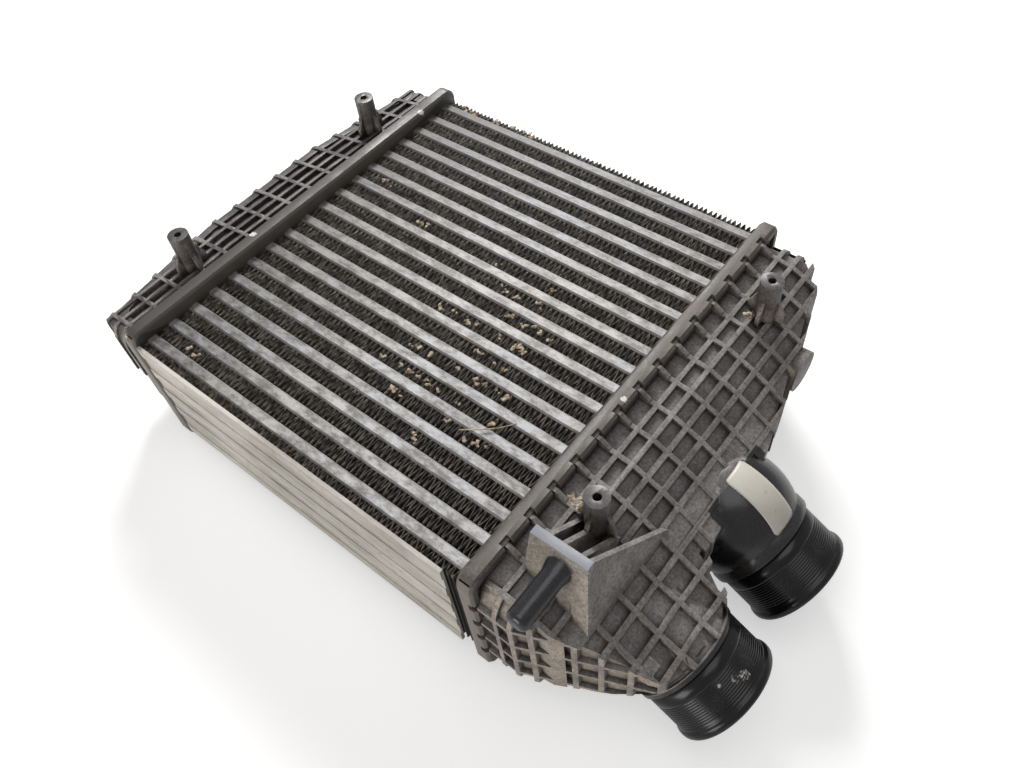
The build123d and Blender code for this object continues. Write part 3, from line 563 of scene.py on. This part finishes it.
def fold_fin(index, y, width, material):
    """One fin pack: a sheet folded to and fro between its two tubes."""
    rng = random.Random(100 + index)
    columns = FOLDS * 4
    bm = bmesh.new()
    bmesh.ops.create_grid(bm, x_segments=columns, y_segments=3, size=0.5)
    length, depth = (CORE_HALF_LENGTH - FIN_MARGIN) * 2, (CORE_HALF_DEPTH - FIN_SETBACK) * 2
    swing = width / 2 - 0.25
    profile = (0.0, 0.86, 1.0, 0.86, 0.0, -0.86, -1.0, -0.86)
    lean = [rng.uniform(-0.35, 0.35) for _ in range(FOLDS + 1)]
    for vert in bm.verts:
        column = round((vert.co.x + 0.5) * columns)
        row = round((vert.co.y + 0.5) * 3)
        x = -length / 2 + length * column / columns
        z = depth / 2 - TIP_BAND if row == 2 else -depth / 2 + depth * row / 3
        if row == 3:
            x += lean[column // 4] + 0.25 * noise.noise(Vector((x * 0.5, index * 7.0, 0)))
            z += 0.5 * noise.noise(Vector((x * 0.25, index * 3.0, 5.0))) + rng.uniform(-0.15, 0.25)
        vert.co = spot(x, y + swing * profile[column % 8], z)
    bmesh.ops.recalc_face_normals(bm, faces=bm.faces)
    bmesh.ops.solidify(bm, geom=bm.faces[:], thickness=FIN_SHEET * MM)
    return finish_piece(f"fin_pack_{index:02d}", bm, material, False, (f"fin_{index:02d}",))


def make_fins(material):
    """A fin pack between each two tubes, and a thin one outside each end tube."""
    first = -(TUBE_COUNT - 1) / 2 * TUBE_PITCH
    end = -first + TUBE_THICKNESS / 2 + END_FIN_WIDTH / 2
    inner = TUBE_PITCH - TUBE_THICKNESS
    fold_fin(1, -end, END_FIN_WIDTH, material)
    for index in range(TUBE_COUNT - 1):
        fold_fin(index + 2, first + (index + 0.5) * TUBE_PITCH, inner, material)
    fold_fin(TUBE_COUNT + 1, end, END_FIN_WIDTH, material)


def turned_piece(name, neck_y, profile, steps, material, replaced=()):
    """Ring turned about a neck axis; profile points are (radius, place behind the open end)."""
    end = Vector((NECK_END_X, neck_y, NECK_END_Z))
    bm = bmesh.new()
    rings = []
    for radius, back in profile:
        ring = []
        for step in range(steps):
            angle = 2 * math.pi * step / steps
            across = Vector((0, math.cos(angle), 0)) + NECK_UP * math.sin(angle)
            ring.append(bm.verts.new(spot(*(end - NECK_OUT * back + across * radius))))
        rings.append(ring)
    for index, ring in enumerate(rings):
        other = rings[(index + 1) % len(rings)]
        for step in range(steps):
            after = (step + 1) % steps
            bm.faces.new((ring[step], ring[after], other[after], other[step]))
    bmesh.ops.recalc_face_normals(bm, faces=bm.faces)
    return finish_piece(name, bm, material, True, replaced)


def make_spigot(name, neck_y, node_name, material):
    """Hose spigot with a rounded end bead and fine rings behind it."""
    outer, groove = SPIGOT_RADIUS, SPIGOT_RADIUS - 0.4
    profile = [(SPIGOT_BORE, SPIGOT_BACK), (SPIGOT_BORE, 1.4), (27.0, 0.4), (28.0, 0.0), (30.2, 0.0),
               (31.3, 0.4), (31.85, 1.3), (32.0, 2.6), (31.85, 3.9), (31.4, 4.8), (30.8, 5.3), (outer, 6.2)]
    for index in range(RING_COUNT):
        start = RING_START + index * RING_PITCH
        profile += [(outer, start), (groove, start + 0.25), (groove, start + 0.6), (outer, start + 0.85)]
    profile += [(outer, RING_START + RING_COUNT * RING_PITCH + 0.6), (outer, SPIGOT_BACK)]
    return turned_piece(name, neck_y, profile, 112, material, (node_name,))


def arc_radius(place):
    """Radius of the upper neck's body at a place behind its open end: a circle through three points."""
    (r1, s1), (r2, s2), (r3, s3) = BODY_ARC
    scale = 2 * (r1 * (s2 - s3) + r2 * (s3 - s1) + r3 * (s1 - s2))
    q1, q2, q3 = (r1 * r1 + s1 * s1), (r2 * r2 + s2 * s2), (r3 * r3 + s3 * s3)
    centre_r = (q1 * (s2 - s3) + q2 * (s3 - s1) + q3 * (s1 - s2)) / scale
    centre_s = (q1 * (r3 - r2) + q2 * (r1 - r3) + q3 * (r2 - r1)) / scale
    return centre_r + math.sqrt((r1 - centre_r) ** 2 + (s1 - centre_s) ** 2 - (place - centre_s) ** 2)


def make_label(material):
    """Blank label with rounded corners that follows the top of the upper neck."""
    end = Vector((NECK_END_X, UPPER_NECK_Y, NECK_END_Z))
    low, high = LABEL_SPAN
    half, middle = (high - low) / 2, (high + low) / 2
    side = LABEL_WIDTH / 2
    bm = bmesh.new()
    bmesh.ops.create_grid(bm, x_segments=28, y_segments=14, size=1.0)
    for vert in bm.verts:
        across = vert.co.y * side
        into = max(0.0, abs(across) - (side - LABEL_CORNER))
        reach = half - LABEL_CORNER + math.sqrt(LABEL_CORNER ** 2 - into ** 2)
        place = middle + vert.co.x * reach
        y = across - 1.4 + (place - low) * 0.085
        rise = math.sqrt((arc_radius(place) + 0.25) ** 2 - y ** 2)
        vert.co = spot(*(end - NECK_OUT * place + Vector((0, y, 0)) + NECK_UP * rise))
    bmesh.ops.recalc_face_normals(bm, faces=bm.faces)
    bmesh.ops.solidify(bm, geom=bm.faces[:], thickness=0.12 * MM)
    return finish_piece("blank_label", bm, material)


def add_crumbs(bm, rng, x, y, z, count, spread):
    """A few flat jagged crumbs round one place."""
    for _ in range(count):
        size = rng.uniform(0.7, 1.8)
        start = len(bm.verts)
        bmesh.ops.create_icosphere(bm, subdivisions=1, radius=1.0)
        bm.verts.ensure_lookup_table()
        turn = Matrix.Rotation(rng.uniform(0, math.pi), 3, "Z")
        place = Vector((x + rng.uniform(-1, 1) * spread, y + rng.uniform(-0.6, 0.6) * spread,
                        z + rng.uniform(-0.6, 0.6)))
        for vert in bm.verts[start:]:
            jag = rng.uniform(0.65, 1.25)
            wide = size * jag
            local = turn @ Vector((vert.co.x * wide, vert.co.y * wide * 0.7, vert.co.z * 0.7 * jag))
            vert.co = spot(*(place + local))


def make_crumbs(material):
    """Crumbs lying between the tubes on top of the fins, and two nests beside screw bosses."""
    rng = random.Random(41)
    bm = bmesh.new()
    first = -(TUBE_COUNT + 1) / 2 * TUBE_PITCH
    for fin, (low, high), count in CRUMBS:
        for _ in range(count):
            x = rng.uniform(low, high)
            y = first + fin * TUBE_PITCH - TUBE_PITCH / 2 + rng.uniform(-2.0, 2.0)
            if fin > TUBE_COUNT:          # the end pack is thinner, so its middle is nearer to the tube
                y -= 1.6
            add_crumbs(bm, rng, x, y, CRUMB_HEIGHT, rng.randint(2, 4), 2.0)
    for x, y, z, count, spread in NESTS:
        add_crumbs(bm, rng, x, y, z, count, spread)
    return finish_piece("leaf_crumbs", bm, material, smooth=False)


def make_fibre(name, points, radius, material):
    """Dry stalk lying on the core."""
    bm = bmesh.new()
    rings = []
    for index, point in enumerate(points):
        ahead = Vector(points[min(index + 1, len(points) - 1)]) - Vector(points[max(index - 1, 0)])
        ahead.normalize()
        side = ahead.cross(Vector((0, 0, 1))).normalized()
        lift = side.cross(ahead)
        ring = []
        for step in range(6):
            angle = math.pi * step / 3
            out = (side * math.cos(angle) + lift * math.sin(angle)) * radius
            ring.append(bm.verts.new(spot(*(Vector(point) + out))))
        rings.append(ring)
    for ring, other in zip(rings, rings[1:]):
        for step in range(6):
            after = (step + 1) % 6
            bm.faces.new((ring[step], ring[after], other[after], other[step]))
    bm.faces.new(rings[0])
    bm.faces.new(rings[-1])
    bmesh.ops.recalc_face_normals(bm, faces=bm.faces)
    return finish_piece(name, bm, material)


def round_over(node_name, piece_name, material, width, angle):
    """Copy of a CAD piece with its edges rounded as a mould or a press leaves them."""
    bm = bmesh.new()
    bm.from_mesh(nodes[node_name].data)
    bmesh.ops.remove_doubles(bm, verts=bm.verts, dist=1e-6)
    bmesh.ops.dissolve_limit(bm, angle_limit=math.radians(1.0), verts=bm.verts, edges=bm.edges)
    piece = finish_piece(piece_name, bm, material, True, (node_name,))
    bevel = piece.modifiers.new("rounded_edges", "BEVEL")
    bevel.width = width * MM
    bevel.segments = 2
    bevel.limit_method = "ANGLE"
    bevel.angle_limit = math.radians(angle)
    bevel.harden_normals = True
    bevel.use_clamp_overlap = True
    return piece


bpy.context.scene.view_settings.view_transform = "Standard"
set_camera()
set_floor()
set_light()
TANK, RAIL, FIN = make_tank_finish(), make_rail_finish(), make_fin_finish()
SPIGOT, CRUMB = make_spigot_finish(), make_crumb_finish()
FINISHES = {"tube": make_tube_finish(), "fin": FIN, "side_plate": make_plate_finish(), "header": RAIL,
            "gasket": make_gasket_finish(), "return_tank": TANK, "port_tank": TANK, "spigot": SPIGOT}
for node_name, part in nodes.items():
    for prefix, finish in FINISHES.items():
        if node_name.startswith(prefix):
            part.data.materials.clear()
            part.data.materials.append(finish)
make_fins(FIN)
make_spigot("ringed_spigot_upper", UPPER_NECK_Y, "spigot_upper", SPIGOT)
make_spigot("ringed_spigot_lower", LOWER_NECK_Y, "spigot_lower", SPIGOT)
make_label(make_label_finish())
make_crumbs(CRUMB)
make_fibre("dry_stalk", ((71, -79, 44.2), (80, -73, 44.8), (88, -66, 44.6), (94, -58, 44.2)), 0.35, CRUMB)
round_over("return_tank", "return_tank_moulding", TANK, 0.5, 30)
round_over("port_tank", "port_tank_moulding", TANK, 0.5, 30)
round_over("header_return", "return_rail", RAIL, 0.7, 30)
round_over("header_port", "port_rail", RAIL, 0.5, 30)
